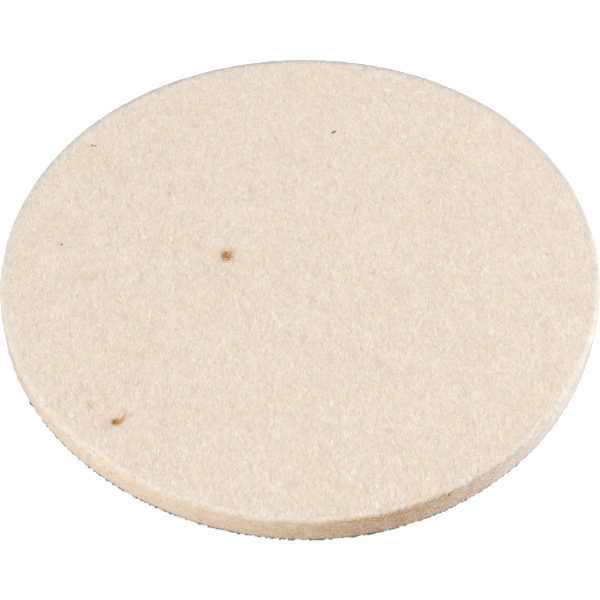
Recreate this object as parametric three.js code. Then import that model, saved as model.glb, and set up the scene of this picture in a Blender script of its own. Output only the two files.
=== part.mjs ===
// A felt polishing wheel for a hook-faced backing pad. It is a round slab of pressed wool felt, bonded by a thin
// hot-melt film to a knitted fabric, whose brushed loops take hold of the pad's hooks. It has no hole and no hub.
// Millimetres, +Z up. The origin is the centre of the back face, and the working face looks up.
import * as THREE from "three";

// Driving dimensions
const WHEEL_DIAMETER = 125;
const FELT_THICKNESS = 6;
const FILM_THICKNESS = 0.1;
const KNIT_THICKNESS = 0.25;
const PILE_HEIGHT = 0.35;

// The felt relaxes after cutting, so the edge of its working face is softly rounded.
const WORKING_EDGE_RADIUS = 0.9;

// The fabric is cut a little inside the felt, and the film melts back from the fabric's edge.
const FABRIC_SETBACK = 0.2;
const FILM_SETBACK = 0.6;

// How finely the round shapes are cut into flat faces
const TURN_SEGMENTS = 96;
const EDGE_SEGMENTS = 4;

const FELT_RADIUS = WHEEL_DIAMETER / 2;
const QUARTER_TURN = Math.PI / 2;

const woolFelt = new THREE.MeshStandardMaterial({ color: 0xebdecb, roughness: 0.95, metalness: 0 });
const hotMeltFilm = new THREE.MeshStandardMaterial({ color: 0xd9d4c4, roughness: 0.45, metalness: 0 });
const knitYarn = new THREE.MeshStandardMaterial({ color: 0x88817b, roughness: 0.85, metalness: 0 });
const loopYarn = new THREE.MeshStandardMaterial({ color: 0x9a928a, roughness: 0.8, metalness: 0 });

// Half of a layer's cross-section, from the axis at its bottom to the axis at its top.
function layerProfile(radius, thickness, topEdgeRadius) {
  const points = [new THREE.Vector2(0, 0), new THREE.Vector2(radius, 0)];
  if (topEdgeRadius > 0) {
    for (let step = 0; step <= EDGE_SEGMENTS; step++) {
      const angle = (QUARTER_TURN * step) / EDGE_SEGMENTS;
      const across = radius - topEdgeRadius * (1 - Math.cos(angle));
      const up = thickness - topEdgeRadius * (1 - Math.sin(angle));
      points.push(new THREE.Vector2(across, up));
    }
  } else {
    points.push(new THREE.Vector2(radius, thickness));
  }
  points.push(new THREE.Vector2(0, thickness));
  return points;
}

// A round layer whose underside lies at height bottom.
function roundLayer({ name, radius, bottom, thickness, topEdgeRadius = 0, material }) {
  const geometry = new THREE.LatheGeometry(layerProfile(radius, thickness, topEdgeRadius), TURN_SEGMENTS);
  geometry.rotateX(QUARTER_TURN);
  const mesh = new THREE.Mesh(geometry, material);
  mesh.name = name;
  mesh.position.z = bottom;
  return mesh;
}

// The knitted fabric on the back: its loops below and its flat ground above, which the film holds.
function makeLoopFabric() {
  const fabric = new THREE.Group();
  const radius = FELT_RADIUS - FABRIC_SETBACK;
  fabric.add(
    roundLayer({ name: "loop_pile", radius, bottom: 0, thickness: PILE_HEIGHT, material: loopYarn }),
    roundLayer({
      name: "backing_knit",
      radius,
      bottom: PILE_HEIGHT,
      thickness: KNIT_THICKNESS,
      material: knitYarn,
    }),
  );
  return fabric;
}

function makeFilm() {
  return roundLayer({
    name: "adhesive_film",
    radius: FELT_RADIUS - FILM_SETBACK,
    bottom: PILE_HEIGHT + KNIT_THICKNESS,
    thickness: FILM_THICKNESS,
    material: hotMeltFilm,
  });
}

function makeFelt() {
  return roundLayer({
    name: "felt_body",
    radius: FELT_RADIUS,
    bottom: PILE_HEIGHT + KNIT_THICKNESS + FILM_THICKNESS,
    thickness: FELT_THICKNESS,
    topEdgeRadius: WORKING_EDGE_RADIUS,
    material: woolFelt,
  });
}

const wheel = new THREE.Group();
wheel.add(makeLoopFabric(), makeFilm(), makeFelt());

export default wheel;
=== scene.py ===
"""The looks of a felt polishing wheel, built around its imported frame.

Metres, +Z up, with the working face looking up.
"""

import math

import bpy
import numpy as np
from mathutils import Matrix, Vector


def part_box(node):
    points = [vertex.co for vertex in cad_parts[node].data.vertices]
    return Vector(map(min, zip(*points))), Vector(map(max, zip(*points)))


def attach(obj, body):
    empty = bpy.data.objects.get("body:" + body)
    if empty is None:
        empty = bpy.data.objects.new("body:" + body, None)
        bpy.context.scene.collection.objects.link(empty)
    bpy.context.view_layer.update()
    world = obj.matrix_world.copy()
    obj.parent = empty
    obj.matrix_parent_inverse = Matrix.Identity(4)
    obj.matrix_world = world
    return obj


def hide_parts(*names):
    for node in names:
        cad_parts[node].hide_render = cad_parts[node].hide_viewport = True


MM = 0.001
TURN = 2 * math.pi

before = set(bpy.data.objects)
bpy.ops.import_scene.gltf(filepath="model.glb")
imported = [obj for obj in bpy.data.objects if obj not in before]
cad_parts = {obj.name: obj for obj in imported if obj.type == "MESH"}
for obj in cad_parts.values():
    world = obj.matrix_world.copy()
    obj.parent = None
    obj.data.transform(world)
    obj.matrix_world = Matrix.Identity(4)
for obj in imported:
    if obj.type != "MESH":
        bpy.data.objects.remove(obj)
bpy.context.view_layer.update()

# The places of the layers, from the frame
FELT_LOW, FELT_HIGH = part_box("felt_body")
KNIT_LOW, KNIT_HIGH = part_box("backing_knit")
RADIUS = FELT_HIGH.x
FELT_BOTTOM = FELT_LOW.z
FELT_TOP = FELT_HIGH.z
KNIT_BOTTOM = KNIT_LOW.z
KNIT_TOP = KNIT_HIGH.z
FABRIC_SETBACK = RADIUS - KNIT_HIGH.x

# The soft upper edge of the felt, and the spacing of its mesh's points
EDGE_RADIUS = 0.95 * MM
MESH_STEP = 0.43 * MM
INNER_POINTS = 27  # in the underside's smallest ring
RIM_POINTS = INNER_POINTS * 32

# Most wool fibres lie near the way that the web was carded, about along Y, and the rest lie every way
GRAIN = math.radians(93)
GRAIN_SPREAD = math.radians(25)
GRAIN_SHARE = 0.82

# How far the matted fibres stand proud on the face and the side, and how far the face rises and falls
TOP_RELIEF = 0.02 * MM
WALL_RELIEF = 0.025 * MM
UNDULATION = 0.012 * MM

# Linear colours of the wool: clean tufts and the painted shade in the hollows between them, each from its
# warmest to its coolest, fibre ends on the cut side and the painted shade in the hollows between those, the
# soft edge's painted highlight, the grey of painted shade, and wool that plants have stained, which also
# paints the straw's shadow
CREAM = ((0.895, 0.793, 0.68), (0.855, 0.783, 0.72))
TAN = ((0.68, 0.513, 0.345), (0.61, 0.503, 0.395))
CUT_PALE = (0.885, 0.84, 0.775)
CUT_DEEP = (0.50, 0.31, 0.14)
EDGE_HIGHLIGHT = (0.925, 0.85, 0.745)
RIM_SHADE_GREY = (0.50, 0.50, 0.505)
STAIN_AND_SHADOW_COLOUR = (0.58, 0.26, 0.06)

# The side is more speckled on the front right, where its tan reaches further over the edge, the painted edge
# highlight fades and the cut loop ends clump most. Painted shade darkens the side in front and a painted
# sheen lightens it on the right. Painted shade greys the edge at the back, and the side at the far left and
# the far right. Each is a bearing and how far it spreads.
FRONT_RIGHT = (math.radians(-62), math.radians(32))
FRONT_SHADE = (math.radians(-74), math.radians(16))
RIGHT_SHEEN = (math.radians(-18), math.radians(34))
BACK_EDGE_SHADE = (math.radians(90), math.radians(75))
RIGHT_SIDE_SHADE = (math.radians(0), math.radians(29))
LEFT_SIDE_SHADE = (math.radians(-172), math.radians(22))

# The middle of the burr, across and up from the middle of the wheel, in millimetres
BURR_X, BURR_Y = -15.6, 3.3


# ---------------------------------------------------------------- shapes of the felt


def outline(bearing):
    """The felt's radius as a share of the true circle's: a die leaves a soft slab a little out of round."""
    lobes = ((3, 0.37, 128), (4, 0.12, 90), (5, 0.08, -74))  # lobes, height in mm, bearing in degrees
    out = sum(height * MM * np.cos(n * bearing - math.radians(at)) for n, height, at in lobes)
    return 1 + out / RADIUS


def near(bearing, middle, spread):
    """1 at a middle bearing, falling to nothing over the spread on both sides."""
    away = (bearing - middle + math.pi) % TURN - math.pi
    return np.exp(-((away / spread) ** 2))


def undulation(x, y):
    """Slow rise and fall of the working face, where the web was a little thicker or thinner."""
    waves = ((31, 17, 0.4), (23, 80, 2.1), (17, 140, 4.0), (12, 41, 1.3))  # mm, degrees, phase
    total = 0
    for length, bearing, phase in waves:
        along = x * math.cos(math.radians(bearing)) + y * math.sin(math.radians(bearing))
        total = total + np.sin(TURN * along / (length * MM) + phase)
    return UNDULATION * total


def bent_paths(rng, count, steps, length, bearing, bend):
    """Flat bent lines about 0, 0: offsets across and up, each (count, steps), and places from -1 to 1."""
    along = np.linspace(-1, 1, steps)[None, :]
    half = (length / 2)[:, None]
    arc = (rng.normal(0, bend, count))[:, None] * half * (along**2 - 0.33)
    wave = (rng.normal(0, bend, count))[:, None] * half * (along**3 - along) * 0.8
    aside = arc + wave
    c, s = np.cos(bearing)[:, None], np.sin(bearing)[:, None]
    return half * along * c - aside * s, half * along * s + aside * c, along


def grain_bearings(rng, count, grain=GRAIN, share=GRAIN_SHARE, spread=GRAIN_SPREAD):
    """Bearings of fibres: every way, with a share of them near the grain."""
    loose = rng.uniform(0, math.pi, count)
    carded = rng.normal(grain, spread, count)
    return np.where(rng.random(count) < share, carded, loose)


class Relief:
    """Matted fibres as a grid of heights that repeats both ways, with mean 0 and spread 1."""

    CELL = 0.15 * MM
    SOFTENED = ((1.15, 1.0), (4.5, 0.7), (12, 1.0))  # blurs in cells, and their shares

    def __init__(self, rng, width, height, cover, length, grain, share):
        self.shape = (max(1, round(height / self.CELL)), round(width / self.CELL))
        self.size = (height, width)
        rows, columns = self.shape
        count = int(cover * width * height / (length * self.CELL))
        steps = 14
        lengths = length * rng.lognormal(0, 0.4, count)
        bearings = grain_bearings(rng, count, grain, share)
        across, up, along = bent_paths(rng, count, steps, lengths, bearings, 0.5)
        x = (rng.uniform(0, width, count)[:, None] + across) / width * columns
        y = (rng.uniform(0, height, count)[:, None] + up) / height * rows
        weight = (rng.uniform(0.3, 1, count)[:, None] * (1 - along**2)) * lengths[:, None] / length
        cells = np.floor(y).astype(int) % rows * columns + np.floor(x).astype(int) % columns
        grid = np.bincount(cells.ravel(), weight.ravel(), rows * columns).reshape(rows, columns)
        heights = sum(part * self.soften(grid, blur) for blur, part in self.SOFTENED)
        self.grid = (heights - heights.mean()) / heights.std()

    @staticmethod
    def soften(grid, blur):
        """The grid blurred over that many cells, round its ends."""
        up = np.fft.fftfreq(grid.shape[0])[:, None]
        across = np.fft.fftfreq(grid.shape[1])[None, :]
        keep = np.exp(-2 * (math.pi * blur) ** 2 * (up**2 + across**2))
        return np.fft.ifft2(np.fft.fft2(grid) * keep).real

    def at(self, u, v):
        """The height at u across and v up."""
        rows, columns = self.shape
        x = np.asarray(u) / self.size[1] * columns
        y = np.asarray(v) / self.size[0] * rows
        x0, y0 = np.floor(x).astype(int), np.floor(y).astype(int)
        fx, fy = x - x0, y - y0
        g = self.grid
        low = g[y0 % rows, x0 % columns] * (1 - fx) + g[y0 % rows, (x0 + 1) % columns] * fx
        high = g[(y0 + 1) % rows, x0 % columns] * (1 - fx) + g[(y0 + 1) % rows, (x0 + 1) % columns] * fx
        return low * (1 - fy) + high * fy


relief_rng = np.random.default_rng(11)
top_relief = Relief(relief_rng, 130 * MM, 130 * MM, 1.6, 2.2 * MM, GRAIN, GRAIN_SHARE)
wall_relief = Relief(relief_rng, TURN * RADIUS, 8 * MM, 1.6, 1.8 * MM, 0.0, 0.8)


def nominal(x, y):
    """The bearing of a point, and its radius on the true circle that the out-of-round one stands for."""
    bearing = np.arctan2(y, x)
    return bearing, np.hypot(x, y) / outline(bearing)


def face_height(x, y):
    """The height of the felt's working face, which falls away over its soft edge."""
    _, r = nominal(x, y)
    over = np.clip((r - (RADIUS - EDGE_RADIUS)) / EDGE_RADIUS, 0, 1)
    drop = EDGE_RADIUS * (1 - np.sqrt(1 - over**2))
    return FELT_TOP + undulation(x, y) + TOP_RELIEF * top_relief.at(x, y) - drop


# Distances along the felt's skin from the foot of its cut side, to the start and the end of its soft edge
WALL_RUN = FELT_TOP - EDGE_RADIUS - FELT_BOTTOM
EDGE_RUN = WALL_RUN + EDGE_RADIUS * math.pi / 2


def edge_angle(run):
    """How far over the soft edge a place lies: 0 on the cut side, a quarter turn on the working face."""
    return np.clip((run - WALL_RUN) / EDGE_RADIUS, 0, math.pi / 2)


def skin(bearing, run, lift=0.0):
    """Points on the felt's skin and their relief, by bearing and distance from the foot of its cut side."""
    angle = edge_angle(run)
    outward, upward = np.cos(angle), np.sin(angle)
    height = FELT_BOTTOM + np.minimum(run, WALL_RUN) + EDGE_RADIUS * upward
    radius = RADIUS - EDGE_RADIUS * (1 - outward) - np.maximum(0, run - EDGE_RUN)
    radius = radius * outline(bearing)
    x, y = radius * np.cos(bearing), radius * np.sin(bearing)
    on_face, on_side = top_relief.at(x, y), wall_relief.at(bearing * RADIUS, height)
    foot = np.clip(0.2 + run / (0.8 * MM), 0, 1)
    out = radius + outward * (foot * WALL_RELIEF * on_side + lift)
    z = height + upward * (TOP_RELIEF * on_face + undulation(x, y) + lift)
    points = np.stack([out * np.cos(bearing), out * np.sin(bearing), z], axis=-1)
    return points, upward * on_face + outward * on_side


# ---------------------------------------------------------------- mesh building


def make_piece(name, points, faces, material):
    """A mesh object that rides on the wheel's one body."""
    mesh = bpy.data.meshes.new(name)
    mesh.from_pydata(points, [], faces)
    mesh.validate()
    mesh.materials.append(material)
    mesh.shade_smooth()
    piece = bpy.data.objects.new(name, mesh)
    bpy.context.scene.collection.objects.link(piece)
    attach(piece, "root")
    return piece


def set_attribute(piece, name, values):
    """A value for each point of the piece, which its material reads."""
    attribute = piece.data.attributes.new(name, "FLOAT", "POINT")
    attribute.data.foreach_set("value", np.asarray(values, np.float32))


def ring_of(count):
    """Bearings spread evenly round a turn."""
    return np.arange(count) * TURN / count


def join_rings(start, count, next_start, next_count):
    """Faces between two rings whose counts are equal, or one twice the other."""
    faces = []
    if count == next_count:
        for i in range(count):
            j = (i + 1) % count
            faces.append((start + i, start + j, next_start + j, next_start + i))
    elif count == 2 * next_count:
        for i in range(next_count):
            j = (i + 1) % next_count
            a, b, c = start + 2 * i, start + 2 * i + 1, start + (2 * i + 2) % count
            near_one, far_one = next_start + i, next_start + j
            faces += [(a, b, near_one), (b, far_one, near_one), (b, c, far_one)]
    else:
        for i in range(count):
            j = (i + 1) % count
            a, b, c = next_start + 2 * i, next_start + 2 * i + 1, next_start + (2 * i + 2) % next_count
            faces += [(start + i, b, a), (start + i, start + j, b), (start + j, c, b)]
    return faces


def lathe(rings):
    """Points and faces of a closed round form. Rings are (points, count), and the end ones close in a fan."""
    points = [ring for ring, _ in rings]
    starts = np.cumsum([0] + [count for _, count in rings])
    faces = []
    for i in range(len(rings) - 1):
        faces += join_rings(starts[i], rings[i][1], starts[i + 1], rings[i + 1][1])
    middles = [points[0].mean(0), points[-1].mean(0)]
    first, last = starts[-1], starts[-1] + 1
    count = rings[0][1]
    faces += [(first, starts[0] + (i + 1) % count, starts[0] + i) for i in range(count)]
    count = rings[-1][1]
    faces += [(last, starts[-2] + i, starts[-2] + (i + 1) % count) for i in range(count)]
    return np.concatenate(points + [np.array(middles)]), [tuple(int(v) for v in face) for face in faces]


def rings_inwards(radius, step, count):
    """Radii and point counts of rings from the rim to near the middle, halved at half the radius."""
    rings = []
    full, r = radius, radius
    while r > 1.2 * step:
        if r < full / 2:
            full, count = full / 2, count // 2 if count % 2 == 0 else count
        rings.append((r, count))
        r -= step
    return rings


def thread_mesh(paths, thickness, across, flatness=1.0):
    """Points and faces of closed three-sided threads, pointed at both ends, along paths (threads, steps, 3).

    across holds, for each thread, a direction that its path never runs along. flatness squeezes it that way.
    """
    count, steps, _ = paths.shape
    along = np.gradient(paths, axis=1)
    along /= np.linalg.norm(along, axis=2, keepdims=True) + 1e-12
    side = np.cross(along, across[:, None, :])
    side /= np.linalg.norm(side, axis=2, keepdims=True) + 1e-12
    up = np.cross(side, along)
    inner = steps - 2
    taper = np.sin(math.pi * (np.arange(1, inner + 1)) / (inner + 1)) ** 0.4
    size = thickness[:, None] / 2 * taper[None, :]
    corners = []
    for corner in range(3):
        angle = TURN * (corner / 3 + 0.25)
        offset = math.cos(angle) * side[:, 1:-1] + math.sin(angle) * flatness * up[:, 1:-1]
        corners.append(paths[:, 1:-1] + offset * size[:, :, None])
    rings = np.stack(corners, axis=2).reshape(count, inner * 3, 3)
    points = np.concatenate([paths[:, :1], rings, paths[:, -1:]], axis=1)
    last = 1 + 3 * inner
    faces = [(0, 1 + k, 1 + (k + 1) % 3) for k in range(3)]
    faces += [(last, last - 3 + (k + 1) % 3, last - 3 + k) for k in range(3)]
    for ring in range(inner - 1):
        a, b = 1 + 3 * ring, 4 + 3 * ring
        for k in range(3):
            j = (k + 1) % 3
            faces += [(a + k, b + j, a + j), (a + k, b + k, b + j)]
    each = last + 1
    shift = (np.arange(count) * each)[:, None, None]
    return points.reshape(-1, 3), (np.array(faces)[None] + shift).reshape(-1, 3)


def upright(count):
    """The way up, once for each thread."""
    return np.tile((0.0, 0.0, 1.0), (count, 1))


# ---------------------------------------------------------------- materials


class Shader:
    """A material whose nodes are added and joined in one call each."""

    def __init__(self, name):
        self.material = bpy.data.materials.new(name)
        self.material.use_nodes = True
        self.nodes = self.material.node_tree.nodes
        self.links = self.material.node_tree.links
        self.surface = self.nodes["Principled BSDF"]

    def add(self, kind, inputs, **settings):
        """A node of that kind, with sockets or values for its inputs."""
        node = self.nodes.new(kind)
        for name, value in settings.items():
            setattr(node, name, value)
        self.feed(node, inputs)
        return node

    def feed(self, node, inputs):
        for name, value in inputs.items():
            socket = node.inputs[name]
            if isinstance(value, bpy.types.NodeSocket):
                self.links.new(value, socket)
            else:
                socket.default_value = value

    def place(self):
        return self.add("ShaderNodeTexCoord", {}).outputs["Object"]

    def noise(self, place, size, detail=2.0, roughness=0.5, stretch=(1, 1, 1), turn=0.0):
        """Noise with features about that size in metres, longer along an axis where stretch says so."""
        scale = tuple(1 / (size * s) for s in stretch)
        turned = self.add("ShaderNodeVectorRotate", {"Vector": place, "Angle": -turn}, rotation_type="Z_AXIS")
        sized = self.add("ShaderNodeVectorMath", {0: turned.outputs[0], 1: scale}, operation="MULTIPLY")
        settings = {"Vector": sized.outputs[0], "Scale": 1.0, "Detail": detail, "Roughness": roughness}
        return self.add("ShaderNodeTexNoise", settings).outputs["Fac"]

    def math(self, operation, a, b=0.0, clamp=False):
        node = self.add("ShaderNodeMath", {0: a, 1: b}, operation=operation, use_clamp=clamp)
        return node.outputs[0]

    def weighted(self, parts):
        """The sum of (socket, weight), each counted from its middle of 0.5."""
        total = None
        for socket, weight in parts:
            part = self.math("MULTIPLY", self.math("SUBTRACT", socket, 0.5), weight)
            total = part if total is None else self.math("ADD", total, part)
        return total

    def highest(self, sockets):
        """The highest of several sockets."""
        highest = sockets[0]
        for socket in sockets[1:]:
            highest = self.math("MAXIMUM", highest, socket)
        return highest

    def mix(self, factor, a, b):
        """A colour between a and b, each a linear colour or a socket."""
        node = self.add("ShaderNodeMix", {"Factor": factor}, data_type="RGBA")
        for index, value in ((6, a), (7, b)):
            if isinstance(value, bpy.types.NodeSocket):
                self.links.new(value, node.inputs[index])
            else:
                node.inputs[index].default_value = (*value, 1)
        return node.outputs[2]

    def attribute(self, name):
        return self.add("ShaderNodeAttribute", {}, attribute_name=name).outputs["Fac"]

    def finish(self, **inputs):
        """The material, with the inputs of its surface set."""
        self.feed(self.surface, {name.replace("_", " "): value for name, value in inputs.items()})
        return self.material


def scaled(colour, share):
    """The colour times that share."""
    return tuple(min(1.0, share * part) for part in colour)


def fibre_streaks(shader, place, directions, width, length):
    """Fine streaks of fibres lying in the plane of the wheel, a layer of them for each direction."""
    wander = shader.noise(place, 1.6 * MM, detail=1.0)
    shift = shader.math("MULTIPLY", shader.math("SUBTRACT", wander, 0.5), 0.9 * MM)
    bent = shader.add("ShaderNodeVectorMath", {0: place, 1: shift}, operation="ADD").outputs[0]
    layers = []
    for degrees in directions:
        layers.append(shader.noise(bent, width, detail=1.5, stretch=(length / width, 1, 1),
                                   turn=math.radians(degrees)))
    return layers


def wool_felt():
    """Undyed pressed wool: cream fibres over tan hollows of painted shade, matted every way, and a tan cut
    side, with painted highlight, shade and sheen from attributes.
    """
    shader = Shader("wool_felt")
    place = shader.place()
    layers = fibre_streaks(shader, place, (93, 74, 110), 0.17 * MM, 1.7 * MM)
    streaks = shader.math("SUBTRACT", shader.highest(layers), 0.12)
    mottle = shader.noise(place, 0.8 * MM, detail=3.0, roughness=0.6, stretch=(1, 2.0, 1))
    patches = shader.noise(place, 5 * MM, detail=2.0)
    # Lighter where the relief stands high: painted shade in the low places
    height_shade = shader.attribute("height_shade")
    shade = shader.weighted([(streaks, 2.9), (mottle, 0.45), (patches, 0.12), (height_shade, 0.3)])
    factor = shader.math("ADD", shade, 0.6, clamp=True)
    hue = shader.noise(place, 0.6 * MM, detail=3.0, roughness=0.7)
    tint = shader.math("ADD", shader.weighted([(hue, 3.0)]), 0.5, clamp=True)
    wool = shader.mix(factor, shader.mix(tint, *TAN), shader.mix(tint, *CREAM))
    # Speckled fibre ends on the cut side, strongest on the front right, over a pale share that holds painted
    # shade in front and a painted sheen on the right
    ends = shader.noise(place, 0.24 * MM, detail=2.0, roughness=0.6)
    speckle = shader.weighted([(ends, 3.0), (mottle, 0.8), (height_shade, 0.4)])
    speckle = shader.math("MULTIPLY", speckle, shader.attribute("front_right"))
    share = shader.math("ADD", speckle, shader.attribute("pale"), clamp=True)
    ragged = shader.weighted([(shader.attribute("cut"), 1.3), (mottle, 0.9), (ends, 0.5)])
    # Painted shade greys the side at the far left and the far right, and the edge at the back
    rim_shade = shader.attribute("rim_shade")
    cut = shader.mix(rim_shade, shader.mix(share, CUT_DEEP, CUT_PALE), RIM_SHADE_GREY)
    sided = shader.mix(shader.math("ADD", ragged, 0.5, clamp=True), wool, cut)
    # The soft edge's painted highlight, greyed by painted shade at the back
    clean = shader.mix(factor, scaled(EDGE_HIGHLIGHT, 0.88), EDGE_HIGHLIGHT)
    edge_highlight = shader.mix(rim_shade, clean, RIM_SHADE_GREY)
    highlighted = shader.mix(shader.attribute("edge_highlight"), sided, edge_highlight)
    stained_and_shadowed = shader.mix(shader.attribute("stain_and_shadow"), highlighted, STAIN_AND_SHADOW_COLOUR)
    bump = shader.add("ShaderNodeBump", {"Height": streaks, "Strength": 0.3, "Distance": 0.04 * MM})
    rough = shader.math("SUBTRACT", 1.02, shader.math("MULTIPLY", streaks, 0.15), clamp=True)
    return shader.finish(
        Base_Color=stained_and_shadowed,
        Roughness=rough,
        Normal=bump.outputs[0],
        Specular_IOR_Level=0.15,
        Sheen_Weight=0.15,
        Sheen_Roughness=0.4,
    )


def wool_fibre(name, dark, light):
    """Single fibres and locks of wool on the surface, each with a shade of its own."""
    shader = Shader(name)
    each = shader.add("ShaderNodeNewGeometry", {}).outputs["Random Per Island"]
    along = shader.noise(shader.place(), 0.5 * MM, detail=1.0)
    factor = shader.math("ADD", shader.weighted([(each, 0.9), (along, 0.4)]), 0.5, clamp=True)
    # Painted shade greys fibres where the attribute says so
    colour = shader.mix(shader.attribute("rim_shade"), shader.mix(factor, dark, light), RIM_SHADE_GREY)
    return shader.finish(
        Base_Color=colour,
        Roughness=0.6,
        Specular_IOR_Level=0.2,
        Sheen_Weight=0.4,
    )


def nylon_yarn(name, dark, light):
    """Brushed nylon yarn of the loop fabric."""
    shader = Shader(name)
    each = shader.add("ShaderNodeNewGeometry", {}).outputs["Random Per Island"]
    along = shader.noise(shader.place(), 0.25 * MM, detail=1.0)
    factor = shader.math("ADD", shader.weighted([(each, 0.7), (along, 0.5)]), 0.6, clamp=True)
    colour = shader.mix(factor, dark, light)
    rough = shader.math("ADD", shader.math("MULTIPLY", along, 0.2), 0.35)
    return shader.finish(Base_Color=colour, Roughness=rough, Sheen_Weight=0.2)


def brushed_yarn():
    """Nylon filaments brushed into a mat, mostly one way."""
    shader = Shader("brushed_yarn")
    place = shader.place()
    streaks = shader.highest(fibre_streaks(shader, place, (2, 28, 150), 0.16 * MM, 1.1 * MM))
    clumps = shader.noise(place, 1.2 * MM, detail=2.0)
    shade = shader.weighted([(streaks, 2.2), (clumps, 0.8)])
    factor = shader.math("ADD", shade, 0.25, clamp=True)
    colour = shader.mix(factor, (0.13, 0.11, 0.095), (0.40, 0.36, 0.325))
    bump = shader.add("ShaderNodeBump", {"Height": streaks, "Strength": 0.6, "Distance": 0.1 * MM})
    return shader.finish(Base_Color=colour, Roughness=0.6, Normal=bump.outputs[0], Sheen_Weight=0.2)


def knit_ground():
    """The fine knitted ground: wales of small V stitches."""
    shader = Shader("knit_ground")
    place = shader.place()
    split = shader.add("ShaderNodeSeparateXYZ", {"Vector": place})
    across, along = split.outputs["X"], split.outputs["Y"]
    wale = shader.math("ABSOLUTE", shader.math("SINE", shader.math("MULTIPLY", across, math.pi / (0.5 * MM))))
    lean = shader.math("MULTIPLY", wale, 0.25 * MM)
    course = shader.math("ADD", along, lean)
    stitch = shader.math("SINE", shader.math("MULTIPLY", course, TURN / (0.34 * MM)))
    height = shader.math("MULTIPLY", shader.math("ADD", shader.math("MULTIPLY", stitch, 0.5), 0.5), wale)
    dirt = shader.noise(place, 2.5 * MM, detail=3.0)
    factor = shader.math("ADD", shader.weighted([(height, 0.7), (dirt, 0.3)]), 0.5, clamp=True)
    colour = shader.mix(factor, (0.15, 0.13, 0.115), (0.34, 0.31, 0.28))
    bump = shader.add("ShaderNodeBump", {"Height": height, "Strength": 0.7, "Distance": 0.08 * MM})
    return shader.finish(Base_Color=colour, Roughness=0.7, Normal=bump.outputs[0], Sheen_Weight=0.2)


def hot_melt():
    """Milky hot-melt film."""
    shader = Shader("hot_melt")
    cloud = shader.noise(shader.place(), 1.5 * MM, detail=3.0)
    colour = shader.mix(cloud, (0.62, 0.58, 0.47), (0.76, 0.73, 0.64))
    rough = shader.math("ADD", shader.math("MULTIPLY", cloud, 0.3), 0.3)
    return shader.finish(Base_Color=colour, Roughness=rough)


def plant_matter(name, dark, light, grain, rough=0.8):
    """Dry bits of plant: a dark and a light brown in grain along them, darker where an attribute paints shade
    and lighter where it paints a highlight.
    """
    shader = Shader(name)
    place = shader.place()
    fine = shader.noise(place, grain, detail=3.0, roughness=0.6)
    each = shader.add("ShaderNodeNewGeometry", {}).outputs["Random Per Island"]
    factor = shader.math("ADD", shader.weighted([(fine, 1.3), (each, 0.8)]), 0.5)
    factor = shader.math("SUBTRACT", factor, shader.attribute("shade_by_height"), clamp=True)
    colour = shader.mix(factor, dark, light)
    bump = shader.add("ShaderNodeBump", {"Height": fine, "Strength": 0.5, "Distance": 0.03 * MM})
    return shader.finish(Base_Color=colour, Roughness=rough, Normal=bump.outputs[0], Specular_IOR_Level=0.15)


# ---------------------------------------------------------------- the wheel


# Where plant matter has stained the wool, and where the straw's shadow is painted: across and up from the
# middle, depth below the working face and size, all in millimetres, and strength
STAINS_AND_SHADOW = (
    (BURR_X, BURR_Y, 0, 1.3, 0.7),
    (-15.4, 3.0, 0, 2.4, 0.16),
    # Partly stain and partly the straw's painted shadow, to the lower left of its curl
    (-38.2, -39.9, 0, 1.7, 0.26),
    (-36.6, -39.4, 0, 1.0, 0.4),
    (3.1, 6.2, 0, 0.25, 0.35),
    (29.4, -6.3, 0, 0.22, 0.3),
    (40.7, -33.3, 0, 0.35, 0.22),
    (-14.8, -31.7, 0, 0.6, 0.13),
    (-28.2, -40.2, 0, 0.7, 0.08),
    (27.7, -56.4, 1.15, 0.6, 0.35),
)


def stain_and_shadow_at(points):
    """How strongly plant matter has coloured the wool at each point, and the straw's painted shadow."""
    total = np.zeros(len(points))
    for x, y, depth, size, strength in STAINS_AND_SHADOW:
        middle = (x * MM, y * MM, FELT_TOP - depth * MM)
        away = np.linalg.norm(points - middle, axis=1) / (size * MM)
        total += strength * np.exp(-(away**2))
    return np.clip(total, 0, 1)


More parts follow.
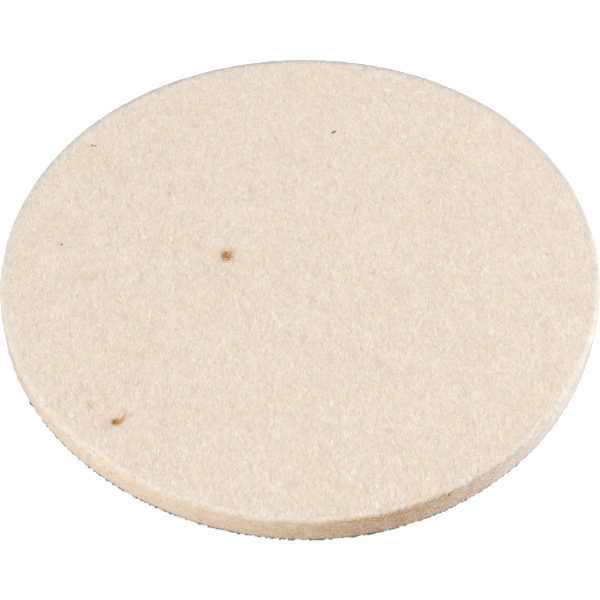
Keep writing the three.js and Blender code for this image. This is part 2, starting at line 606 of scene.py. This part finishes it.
def make_felt(material):
    """The felt slab, as one skin from the middle of its underside to the middle of its working face."""
    rng = np.random.default_rng(21)
    rings, reliefs, runs_up, edge_highlights = [], [], [], []

    def add_ring(points, relief, run, edge_highlight):
        rings.append((points, len(points)))
        reliefs.append(relief)
        runs_up.append(np.full(len(points), run))
        edge_highlights.append(np.full(len(points), edge_highlight))

    # The underside, where each ring has twice the radius and points of the one inside it
    count = INNER_POINTS
    while count < RIM_POINTS:
        bearing = ring_of(count)
        radii = RADIUS * count / RIM_POINTS * outline(bearing)
        level = np.full(count, FELT_BOTTOM)
        flat = np.stack([radii * np.cos(bearing), radii * np.sin(bearing), level], axis=1)
        add_ring(flat, np.zeros(count), 0.0, 0.0)
        count *= 2

    # The cut side and the soft edge
    rows, bends = round(WALL_RUN / MESH_STEP), 5
    up_the_side = np.linspace(0, WALL_RUN, rows + 1)
    over_the_edge = np.linspace(WALL_RUN, EDGE_RUN, bends + 1)[1:]
    for run in [*up_the_side, *over_the_edge]:
        points, relief = skin(ring_of(RIM_POINTS), np.full(RIM_POINTS, run))
        # Each ring's share of the painted edge highlight, strongest at the top of the soft edge
        add_ring(points, relief, run, 0.8 * math.sin(edge_angle(run)) ** 2)

    # The working face
    for radius, count in rings_inwards(RADIUS - EDGE_RADIUS - MESH_STEP, MESH_STEP, RIM_POINTS):
        inwards = RADIUS - EDGE_RADIUS - radius
        loose = 0.3 * MESH_STEP
        bearing = ring_of(count) + rng.uniform(-loose, loose, count) / radius
        points, relief = skin(bearing, EDGE_RUN + inwards + rng.uniform(-loose, loose, count))
        # The painted edge highlight fades inwards over the face
        add_ring(points, relief, EDGE_RUN + inwards, 0.8 * math.exp(-inwards / (0.35 * MM)))

    points, faces = lathe(rings)
    felt = make_piece("felt_slab", points, faces, material)
    middles = [np.zeros(1), np.full(1, EDGE_RUN + RADIUS)]
    bearing = np.arctan2(points[:, 1], points[:, 0])
    front_right, dark = near(bearing, *FRONT_RIGHT), near(bearing, *FRONT_SHADE)
    run = np.concatenate(runs_up + middles)
    # The cut side's look reaches a little over the edge, and further on the front right
    above_side = (run - WALL_RUN) / MM - 0.45 - 0.5 * front_right
    up_side = np.clip(run / WALL_RUN, 0, 1) - 0.5
    # The pale share: painted shade in front, a painted sheen on the right, and lighter towards the top of the
    # side except in front, where it is a little darker towards the top
    pale = 0.58 + 0.42 * near(bearing, *RIGHT_SHEEN) - 0.45 * dark + (0.12 - 0.2 * dark) * up_side
    # Painted shade on the side at the far left and the far right, and along the edge at the back
    side_shade = near(bearing, *RIGHT_SIDE_SHADE) + 0.8 * near(bearing, *LEFT_SIDE_SHADE)
    rim_shade = np.where(above_side < 0, side_shade, near(bearing, *BACK_EDGE_SHADE))
    # Lighter where the relief stands high, as painted shade in the low places
    set_attribute(felt, "height_shade", np.clip(0.5 + 0.17 * np.concatenate(reliefs + [np.zeros(2)]), 0, 1))
    set_attribute(felt, "cut", np.clip(0.5 - above_side / 1.2, 0, 1))
    # The painted edge highlight, which fades on the front right
    set_attribute(felt, "edge_highlight", np.concatenate(edge_highlights + [np.zeros(2)]) * (1 - 0.9 * front_right))
    set_attribute(felt, "pale", pale)
    set_attribute(felt, "front_right", 0.22 + 1.2 * front_right)
    set_attribute(felt, "rim_shade", rim_shade)
    set_attribute(felt, "stain_and_shadow", stain_and_shadow_at(points))
    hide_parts("felt_body")


def random_disc(rng, count, radius):
    """Points spread evenly over a disc."""
    r = radius * np.sqrt(rng.random(count))
    bearing = rng.uniform(0, TURN, count)
    return r * np.cos(bearing), r * np.sin(bearing)


def make_face_fibres(name, rng, count, steps, length, width, flatness, lift, bend, material):
    """Fibres that lie on the working face, mostly sunk in it."""
    lengths = length * rng.lognormal(0, 0.35, count)
    across, up, along = bent_paths(rng, count, steps, lengths, grain_bearings(rng, count), bend)
    x0, y0 = random_disc(rng, count, RADIUS - 0.5 * MM)
    x, y = x0[:, None] + across, y0[:, None] + up
    widths = width * rng.lognormal(0, 0.3, count)
    rise = lift * rng.random(count)[:, None] * (1 - along**2)
    z = face_height(x, y) + rise - flatness * widths[:, None] * (0.1 + 0.4 * along**4)
    points, faces = thread_mesh(np.stack([x, y, z], axis=2), widths, upright(count), flatness)
    piece = make_piece(name, points, faces, material)


def make_face_fuzz(material):
    """Loose fibre ends that stand a little off the working face."""
    rng = np.random.default_rng(33)
    count, steps = 2600, 6
    lengths = 1.5 * MM * rng.lognormal(0, 0.35, count)
    across, up, along = bent_paths(rng, count, steps, lengths, grain_bearings(rng, count), 0.7)
    x0, y0 = random_disc(rng, count, RADIUS - 0.4 * MM)
    x, y = x0[:, None] + across, y0[:, None] + up
    free = (along + 1) / 2
    z = face_height(x, y) - 0.03 * MM + rng.uniform(0.04, 0.25, count)[:, None] * MM * free**1.5
    widths = rng.uniform(0.025, 0.045, count) * MM
    points, faces = thread_mesh(np.stack([x, y, z], axis=2), widths, upright(count))
    piece = make_piece("face_fuzz", points, faces, material)


def make_skin_fibres(name, rng, count, runs, length, slants, width, lift, free_share, material):
    """Fibres on the cut side and the soft edge. Most lie flat, and a share have an end that stands out.

    runs is the stretch of the skin that their middles lie in.
    """
    steps = 5
    lengths = length * rng.lognormal(0, 0.35, count)
    around, up, along = bent_paths(rng, count, steps, lengths, slants, 0.45)
    bearing = rng.uniform(0, TURN, count)[:, None] + around / RADIUS
    run = np.clip(rng.uniform(*runs, count)[:, None] + up, 0.05 * MM, None)
    free = rng.random(count) < free_share
    widths = width * rng.lognormal(0, 0.25, count) * np.where(free, 0.5, 1.0)
    sunk = widths[:, None] * (0.1 + 0.3 * along**4)
    flat_lift = 0.3 * lift * rng.random(count)[:, None] * (1 - along**2) - sunk
    free_lift = lift * rng.uniform(0.3, 1, count)[:, None] * ((along + 1) / 2) ** 1.5 - 0.02 * MM
    points, _ = skin(bearing, run, np.where(free[:, None], free_lift, flat_lift))
    half_way = steps // 2
    middle, _ = skin(bearing[:, half_way], run[:, half_way])
    above, _ = skin(bearing[:, half_way], run[:, half_way], 1 * MM)
    points, faces = thread_mesh(points, widths, above - middle, 0.6)
    piece = make_piece(name, points, faces, material)
    on_edge = points[:, 2] > FELT_TOP - EDGE_RADIUS
    # Painted shade greys the fibres on the edge at the back
    at_back = near(np.arctan2(points[:, 1], points[:, 0]), *BACK_EDGE_SHADE)
    set_attribute(piece, "rim_shade", 0.6 * at_back * on_edge)


def make_side_fibres(material):
    """Cut fibre ends on the side, most of them along it."""
    rng = np.random.default_rng(34)
    count = 8500
    slants = grain_bearings(rng, count, 0.0, 0.6, math.radians(20))
    runs = (0.1 * MM, WALL_RUN)
    make_skin_fibres("side_fibres", rng, count, runs, 0.9 * MM, slants, 0.07 * MM, 0.22 * MM, 0.35, material)


def make_edge_fibres(material):
    """Pale fibres that cutting and handling have raised along the soft edge."""
    rng = np.random.default_rng(36)
    count = 6000
    slants = grain_bearings(rng, count, math.radians(90), 0.3, math.radians(40))
    runs = (WALL_RUN + 0.3 * MM, EDGE_RUN + 0.6 * MM)
    make_skin_fibres("edge_fibres", rng, count, runs, 0.9 * MM, slants, 0.08 * MM, 0.2 * MM, 0.3, material)


def round_ring(radius, count):
    """A ring of points that follows the felt's out-of-round outline."""
    bearing = ring_of(count)
    radii = radius * outline(bearing)
    return radii * np.cos(bearing), radii * np.sin(bearing)


def make_knit(material):
    """The fabric's knitted ground, cut with the felt."""
    count = RIM_POINTS // 2
    radius = RADIUS - FABRIC_SETBACK
    inward = rings_inwards(radius, 1.0 * MM, count)
    rings = [(r, KNIT_BOTTOM, n) for r, n in reversed(inward)]
    rings += [(r, KNIT_TOP, n) for r, n in inward]
    rib_height, rib_spacing = 0.02 * MM, 2.1 * MM
    made = []
    for r, height, n in rings:
        x, y = round_ring(r, n)
        rib = rib_height * np.sin(TURN * y / rib_spacing) * (height < KNIT_TOP)
        made.append((np.stack([x, y, height + rib], axis=1), n))
    points, faces = lathe(made)
    knit = make_piece("knit_sheet", points, faces, material)
    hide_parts("backing_knit")


def make_loops(material):
    """Open loops of nylon that hang from the knitted ground in brushed rows."""
    rng = np.random.default_rng(35)
    count, steps = 8200, 6
    x0, y0 = random_disc(rng, count, RADIUS - FABRIC_SETBACK - 0.15 * MM)
    row, rooted = 1.0 * MM, 0.03 * MM
    y0 = (np.round(y0 / row) + rng.normal(0, 0.2, count)) * row
    inside = nominal(x0, y0)[1] < RADIUS - FABRIC_SETBACK - 0.1 * MM
    x0, y0 = x0[inside], y0[inside]
    count = len(x0)
    facing = rng.normal(0.5, 0.5, count)
    width = rng.uniform(0.45, 0.8, count) * MM
    depth = (KNIT_BOTTOM - 0.05 * MM) * rng.uniform(0.8, 1.0, count)
    turn = np.linspace(0, math.pi, steps)[None, :]
    across = width[:, None] / 2 * np.cos(turn) * (1 + 0.45 * np.sin(turn))
    lean = rng.normal(0, 0.25, count)[:, None] * MM * np.sin(turn)
    x = x0[:, None] + across * np.cos(facing)[:, None] - lean * np.sin(facing)[:, None]
    y = y0[:, None] + across * np.sin(facing)[:, None] + lean * np.cos(facing)[:, None]
    z = KNIT_BOTTOM + rooted - (depth[:, None] + rooted) * np.sin(turn) ** 0.8
    flat = np.stack([-np.sin(facing), np.cos(facing), np.zeros(count)], axis=1)
    widths = rng.uniform(0.08, 0.13, count) * MM
    points, faces = thread_mesh(np.stack([x, y, z], axis=2), widths, flat)
    loops = make_piece("nylon_loops", points, faces, material)
    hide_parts("loop_pile")


def make_loop_mat(material):
    """The brushed mat at the roots of the loops, with the yarn lying along the rows."""
    radius = RADIUS - FABRIC_SETBACK - 0.4 * MM
    rings = []
    for r, count in reversed(rings_inwards(radius, 0.45 * MM, RIM_POINTS)):
        x, y = round_ring(r, count)
        z = KNIT_BOTTOM + (0.05 * top_relief.at(y, x) - 0.15) * MM
        rings.append((np.stack([x, y, np.clip(z, 0.05 * MM, KNIT_BOTTOM)], axis=1), count))
    for r, count in rings_inwards(radius, radius / 4, RIM_POINTS):
        x, y = round_ring(r, count)
        rings.append((np.stack([x, y, np.full(count, KNIT_BOTTOM + 0.03 * MM)], axis=1), count))
    mat = make_piece("loop_mat", *lathe(rings), material)


def make_cut_loops(material):
    """Loops that the die cut open along the fabric's rim, as short ends that splay out a little and droop,
    dark with painted contact shadow.
    """
    rng = np.random.default_rng(37)
    count, steps = 9500, 4
    down = np.linspace(0, 1, steps)[None, :]
    # Some ends cling together in clumps, and there are more and longer clumps on the front right
    anywhere, front_right = 700, 170
    everywhere, at_front_right = rng.uniform(0, TURN, anywhere), rng.normal(FRONT_RIGHT[0], 0.7 * FRONT_RIGHT[1], front_right)
    clump_bearings = np.concatenate([everywhere, at_front_right])
    clump_reaches = np.concatenate([rng.uniform(0.06, 0.38, anywhere), rng.uniform(0.2, 0.5, front_right)])
    clump = rng.integers(0, len(clump_bearings), count)
    clings = rng.random(count) < 0.45
    clinging = clump_bearings[clump] + rng.normal(0, 0.07 * MM / RADIUS, count)
    bearing = np.where(clings, clinging, rng.uniform(0, TURN, count))[:, None]
    splay = np.where(clings, clump_reaches[clump], rng.normal(0.05, 0.07, count))[:, None] * MM
    splay = splay - 0.15 * MM * np.cos(bearing)  # longest at the left, so that their painted contact shadow shows there too
    start = RADIUS - FABRIC_SETBACK - rng.uniform(0.02, 0.35, count)[:, None] * MM
    reach = np.minimum(start + splay * down**0.7, RADIUS + 0.3 * MM) * outline(bearing)
    turned = bearing + rng.normal(0, 0.15, count)[:, None] * MM * down / RADIUS
    top = rng.uniform(KNIT_BOTTOM, KNIT_TOP, count)[:, None]
    foot = rng.uniform(0.03, 0.12, count)[:, None] * MM
    z = top + (foot - top) * down
    widths = rng.uniform(0.09, 0.15, count) * MM
    paths = np.stack([reach * np.cos(turned), reach * np.sin(turned), z], axis=2)
    outward = np.stack([np.cos(bearing[:, 0]), np.sin(bearing[:, 0]), np.zeros(count)], axis=1)
    points, faces = thread_mesh(paths, widths, outward)
    ends = make_piece("cut_loops", points, faces, material)


# ---------------------------------------------------------------- bits of plant in the wool


def ribbon(path, widths, thickness, sides=10):
    """Points and faces of a flattened strip along a path, closed at both ends."""
    path = np.asarray(path, float)
    steps = len(path)
    along = np.gradient(path, axis=0)
    along /= np.linalg.norm(along, axis=1, keepdims=True)
    side = np.cross(along, (0.0, 0.0, 1.0))
    side /= np.linalg.norm(side, axis=1, keepdims=True)
    up = np.cross(side, along)
    rings = []
    for i in range(steps):
        angle = ring_of(sides)
        wide = widths[i] / 2 * np.cos(angle)[:, None] * side[i]
        thick = thickness / 2 * np.sin(angle)[:, None] * up[i]
        rings.append((path[i] + wide + thick, sides))
    points, faces = lathe(rings)
    return points, [tuple(reversed(face)) for face in faces]


def joined(parts):
    """Several (points, faces) as one."""
    points, faces, start = [], [], 0
    for p, f in parts:
        points.append(p)
        faces += [tuple(int(v) + start for v in face) for face in f]
        start += len(p)
    return np.concatenate(points), faces


def lying_on_face(x, y, lift):
    """Points on the working face, raised by lift."""
    x, y = np.asarray(x) * MM, np.asarray(y) * MM
    return np.stack([x, y, face_height(x, y) + np.asarray(lift) * MM], axis=1)


def make_straw():
    """A curl of straw: a husk rolled on itself, a small hook, and a stem that rises off the face."""
    husk_look = plant_matter("straw_husk", (0.19, 0.03, 0.002), (0.66, 0.33, 0.09), 0.5 * MM)
    stem_look = plant_matter("straw_stem", (0.40, 0.13, 0.02), (0.80, 0.41, 0.14), 0.35 * MM)
    # The husk turns once and a bit, inwards and off the face, with painted shade where it lies low in the
    # wool and a painted highlight where it rises
    curl_x, curl_y = -36.75, -39.1
    t = np.linspace(0, 1, 26)
    angle = np.radians(140 + 400 * t)
    r = 0.48 - 0.3 * t
    husk = lying_on_face(curl_x + r * np.cos(angle), curl_y + 1.1 * r * np.sin(angle), 0.1 + 0.32 * t)
    widths = np.interp(t, (0, 0.2, 0.8, 1), (0.2, 0.55, 0.5, 0.2)) * MM
    points, faces = ribbon(husk, widths, 0.22 * MM)
    curl_piece = make_piece("straw_husk", points, faces, husk_look)
    above_wool = points[:, 2] - face_height(points[:, 0], points[:, 1])
    set_attribute(curl_piece, "shade_by_height", np.interp(above_wool / MM, (0.16, 0.36), (0.5, -0.25)))

    # The hook, by across, up, lift and width, in millimetres
    bends = (
        (-36.75, -39.4, 0.1, 0.14),
        (-36.5, -39.6, 0.16, 0.3),
        (-36.2, -39.65, 0.22, 0.34),
        (-35.95, -39.4, 0.28, 0.28),
        (-35.8, -39.0, 0.3, 0.22),
        (-35.9, -38.7, 0.26, 0.1),
    )
    across, up, lift, widths = np.array(bends).T
    hook = ribbon(lying_on_face(across, up, lift), widths * MM, 0.16 * MM)

    # The stem, from its foot in the hook
    foot_x, foot_y = -36.2, -39.45
    s = np.linspace(0, 1, 12)
    rise = lying_on_face(foot_x + 1.75 * s + 0.1 * np.sin(5 * s), foot_y + 2.3 * s, 0.2 + 0.4 * s**0.8)
    widths = np.interp(s, (0, 0.15, 0.75, 1), (0.2, 0.42, 0.36, 0.1)) * MM
    stem = ribbon(rise, widths, 0.16 * MM)
    stem_piece = make_piece("straw_stem", *joined([hook, stem]), stem_look)


def flake(rng, x, y, length, width, lift):
    """A small bent flake at x, y on the working face, lying any way. All in millimetres."""
    s = np.linspace(-1, 1, 7)
    bearing = rng.uniform(0, math.pi)
    aside = rng.uniform(-0.3, 0.3) * length * (1 - s**2)
    c, n = math.cos(bearing), math.sin(bearing)
    line = lying_on_face(x + length / 2 * s * c - aside * n, y + length / 2 * s * n + aside * c,
                         lift + 0.04 * (1 - s**2))
    return ribbon(line, width * MM * np.sqrt(1.05 - s**2), 0.14 * MM, sides=8)


def make_burr():
    """Crumbs of a seed burr, half buried in the wool and densest in the middle, and one in the side."""
    material = plant_matter("burr_crumb", (0.27, 0.07, 0.008), (0.78, 0.40, 0.13), 0.35 * MM)
    rng = np.random.default_rng(41)
    parts, crumbs = [], 44
    for _ in range(crumbs):
        away = 1.5 * rng.random() ** 0.8
        bearing = rng.uniform(0, TURN)
        size = rng.uniform(0.35, 0.8) * (1.15 - 0.4 * away)
        x, y = BURR_X + away * math.cos(bearing), BURR_Y + 0.9 * away * math.sin(bearing)
        parts.append(flake(rng, x, y, size, 0.36 * size, 0.05 - 0.04 * away))
    half_long, widths = 0.22, np.array((0.2, 0.38, 0.44, 0.36, 0.16)) * MM
    around = math.radians(-63.8) + np.linspace(-half_long, half_long, len(widths)) * MM / RADIUS
    on_side, _ = skin(around, np.full(len(widths), WALL_RUN - 0.2 * MM), 0.02 * MM)
    parts.append(ribbon(on_side, widths, 0.34 * MM, sides=8))
    piece = make_piece("burr_crumbs", *joined(parts), material)


def make_splinters():
    """Short dark splinters and hairs, and specks of bark."""
    material = plant_matter("dark_splinter", (0.010, 0.006, 0.003), (0.06, 0.035, 0.018), 0.3 * MM)
    parts = []
    # Across and up, bearing in degrees, length, width and lift in millimetres
    bits = (
        (7.6, 38.6, 44, 1.2, 0.34, 0.08),
        (-45.5, 35.5, -12, 0.6, 0.2, 0.06),
        (-44.85, 35.3, -8, 0.6, 0.22, 0.06),
        (51.7, 2.6, 60, 0.4, 0.2, 0.05),
        (-50.4, 6.9, 30, 0.45, 0.3, 0.04),
    )
    for across, up, bearing, length, width, lift in bits:
        s = np.linspace(-1, 1, 7)
        c, n = math.cos(math.radians(bearing)), math.sin(math.radians(bearing))
        line = lying_on_face(across + length / 2 * s * c, up + length / 2 * s * n, lift + 0.03 * (1 - s**2))
        parts.append(ribbon(line, width * MM * (1.02 - s**2) ** 0.4, 0.12 * MM, sides=8))
    piece = make_piece("dark_splinters", *joined(parts), material)


def make_odd_fibres():
    """The few coloured fibres that show in undyed wool."""
    material = plant_matter("odd_fibre", (0.20, 0.09, 0.04), (0.50, 0.30, 0.18), 0.4 * MM)
    rng = np.random.default_rng(42)
    # Across and up in millimetres, bearing in degrees, and length in millimetres
    places = (
        (-41.9, -35.3, -52, 3.1),
        (27.8, 17.7, 35, 1.3),
        (-38.9, 11.4, 80, 1.4),
        (-10.8, 54.0, 10, 0.7),
        (29.4, -6.3, 70, 0.6),
        (12.0, -22.0, 110, 1.1),
    )
    across, up, bearing, length = np.array(places).T
    count, steps = len(places), 9
    x, y, along = bent_paths(rng, count, steps, length * MM, np.radians(bearing), 0.25)
    x, y = x + across[:, None] * MM, y + up[:, None] * MM
    z = face_height(x, y) + 0.04 * MM * (1.2 - along**2)
    widths = np.full(count, 0.07 * MM)
    points, faces = thread_mesh(np.stack([x, y, z], axis=2), widths, upright(count))
    piece = make_piece("odd_fibres", points, faces, material)


# ---------------------------------------------------------------- studio


def make_floor():
    """A plain pale table top, far larger than the wheel.

    The wheel is lit by it as if it were darker and warmer than the white that the camera sees.
    """
    shader = Shader("table_top")
    cloud = shader.noise(shader.place(), 0.3, detail=2.0)
    seen = shader.mix(cloud, (0.94, 0.94, 0.94), (0.96, 0.96, 0.96))
    is_camera = shader.add("ShaderNodeLightPath", {}).outputs["Is Camera Ray"]
    colour = shader.mix(is_camera, (0.68, 0.56, 0.46), seen)
    glow = shader.math("MULTIPLY", is_camera, 0.6)
    material = shader.finish(
        Base_Color=colour,
        Roughness=0.9,
        Specular_IOR_Level=0.1,
        Emission_Color=(1, 1, 1, 1),
        Emission_Strength=glow,
    )
    half = 4.0
    mesh = bpy.data.meshes.new("floor")
    corners = [(-half, -half, 0), (half, -half, 0), (half, half, 0), (-half, half, 0)]
    mesh.from_pydata(corners, [], [(0, 1, 2, 3)])
    mesh.materials.append(material)
    floor = bpy.data.objects.new("floor", mesh)
    bpy.context.scene.collection.objects.link(floor)


def make_world():
    """The studio's air as the wheel sees it: bright above, less so all round, dim and warm in front.

    The camera sees plain white.
    """
    world = bpy.data.worlds.new("studio")
    bpy.context.scene.world = world
    world.use_nodes = True
    nodes, links = world.node_tree.nodes, world.node_tree.links

    def facing(direction, low, high):
        """0 to 1 as the air lies from low to high along a direction."""
        dot = nodes.new("ShaderNodeVectorMath")
        dot.operation = "DOT_PRODUCT"
        links.new(nodes["direction"].outputs["Generated"], dot.inputs[0])
        dot.inputs[1].default_value = direction
        ramp = nodes.new("ShaderNodeMapRange")
        ramp.interpolation_type = "SMOOTHSTEP"
        ramp.inputs["From Min"].default_value = low
        ramp.inputs["From Max"].default_value = high
        links.new(dot.outputs["Value"], ramp.inputs["Value"])
        return ramp.outputs["Result"]

    def blend(factor, a, b):
        node = nodes.new("ShaderNodeMix")
        node.data_type = "RGBA"
        links.new(factor, node.inputs["Factor"])
        for socket, value in ((node.inputs[6], a), (node.inputs[7], b)):
            if isinstance(value, tuple):
                socket.default_value = (*value, 1)
            else:
                links.new(value, socket)
        return node.outputs[2]

    nodes.new("ShaderNodeTexCoord").name = "direction"
    sides = blend(facing((1, 0, 0), -0.2, 0.9), (0.38, 0.39, 0.41), (0.35, 0.38, 0.43))
    back = blend(facing((0, 1, 0), 0.2, 0.8), sides, (0.28, 0.28, 0.29))
    front = blend(facing((0.25, -0.97, 0), -0.1, 0.75), back, (0.06, 0.03, 0.01))
    lit = blend(facing((0, 0, 1), 0.3, 0.65), front, (0.575, 0.575, 0.575))
    path = nodes.new("ShaderNodeLightPath")
    seen = blend(path.outputs["Is Camera Ray"], lit, (1.0, 1.0, 1.0))
    links.new(seen, nodes["Background"].inputs["Color"])


def add_softbox(name, place, size, power, colour):
    """A rectangular light that faces the middle of the wheel."""
    light = bpy.data.lights.new(name, "AREA")
    light.shape = "RECTANGLE"
    light.size, light.size_y = size
    light.energy = power
    light.color = colour
    softbox = bpy.data.objects.new(name, light)
    softbox.location = place
    softbox.rotation_euler = (-Vector(place)).to_track_quat("-Z", "Y").to_euler()
    bpy.context.scene.collection.objects.link(softbox)


def make_lights():
    """Three softboxes, which lie behind to the right, low at the left and low at the right."""
    add_softbox("back_softbox", (0.64, 0.36, 0.93), (0.7, 0.5), 4.4, (1.0, 0.985, 0.96))
    add_softbox("left_softbox", (-0.71, -0.46, 0.23), (0.4, 0.3), 5.6, (0.985, 0.98, 0.955))
    add_softbox("right_softbox", (0.86, -0.03, 0.27), (0.35, 0.3), 6.3, (0.84, 0.925, 1.02))


def make_camera():
    """A long lens from 51 degrees above the table, turned a touch about its own axis."""
    elevation, roll, distance = math.radians(51.0), math.radians(-0.7), 416.1 * MM
    aim = Vector((-0.29, -6.19, 3.35)) * MM
    ahead = Vector((0, math.cos(elevation), -math.sin(elevation)))
    level = Vector((1, 0, 0))
    over = level.cross(ahead)
    right = math.cos(roll) * level + math.sin(roll) * over
    up = math.cos(roll) * over - math.sin(roll) * level
    camera = bpy.data.cameras.new("camera")
    camera.sensor_width = 36
    camera.lens = 120
    camera.clip_start, camera.clip_end = 0.01, 20
    seat = bpy.data.objects.new("camera", camera)
    turned = Matrix((right, up, -ahead)).transposed().to_4x4()
    turned.translation = aim - ahead * distance
    seat.matrix_world = turned
    bpy.context.scene.collection.objects.link(seat)
    bpy.context.scene.camera = seat


def build():
    """Everything, in one fixed order."""
    make_camera()
    make_felt(wool_felt())
    clean = wool_fibre("wool_fibre", (0.74, 0.66, 0.56), (0.97, 0.95, 0.92))
    side = wool_fibre("cut_fibre", (0.72, 0.55, 0.38), (0.97, 0.93, 0.88))
    tufts, threads = np.random.default_rng(31), np.random.default_rng(32)
    make_face_fibres("face_tufts", tufts, 16000, 4, 1.6 * MM, 0.15 * MM, 0.3, 0.01 * MM, 0.3, clean)
    make_face_fibres("face_fibres", threads, 6500, 7, 3.2 * MM, 0.05 * MM, 1.0, 0.03 * MM, 0.45, clean)
    make_face_fuzz(clean)
    make_side_fibres(side)
    make_edge_fibres(wool_fibre("edge_fibre", (0.80, 0.71, 0.60), (0.98, 0.94, 0.87)))
    make_knit(knit_ground())
    make_loops(nylon_yarn("nylon_loop", (0.17, 0.145, 0.125), (0.42, 0.38, 0.34)))
    make_loop_mat(brushed_yarn())
    # The loops' yarn, made darker as painted contact shadow along the wheel's foot
    make_cut_loops(nylon_yarn("cut_yarn_in_shade", (0.06, 0.05, 0.042), (0.28, 0.24, 0.21)))
    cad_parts["adhesive_film"].material_slots[0].material = hot_melt()
    make_straw()
    make_burr()
    make_splinters()
    make_odd_fibres()
    make_floor()
    make_world()
    make_lights()
    bpy.context.scene.view_settings.view_transform = "Standard"


build()
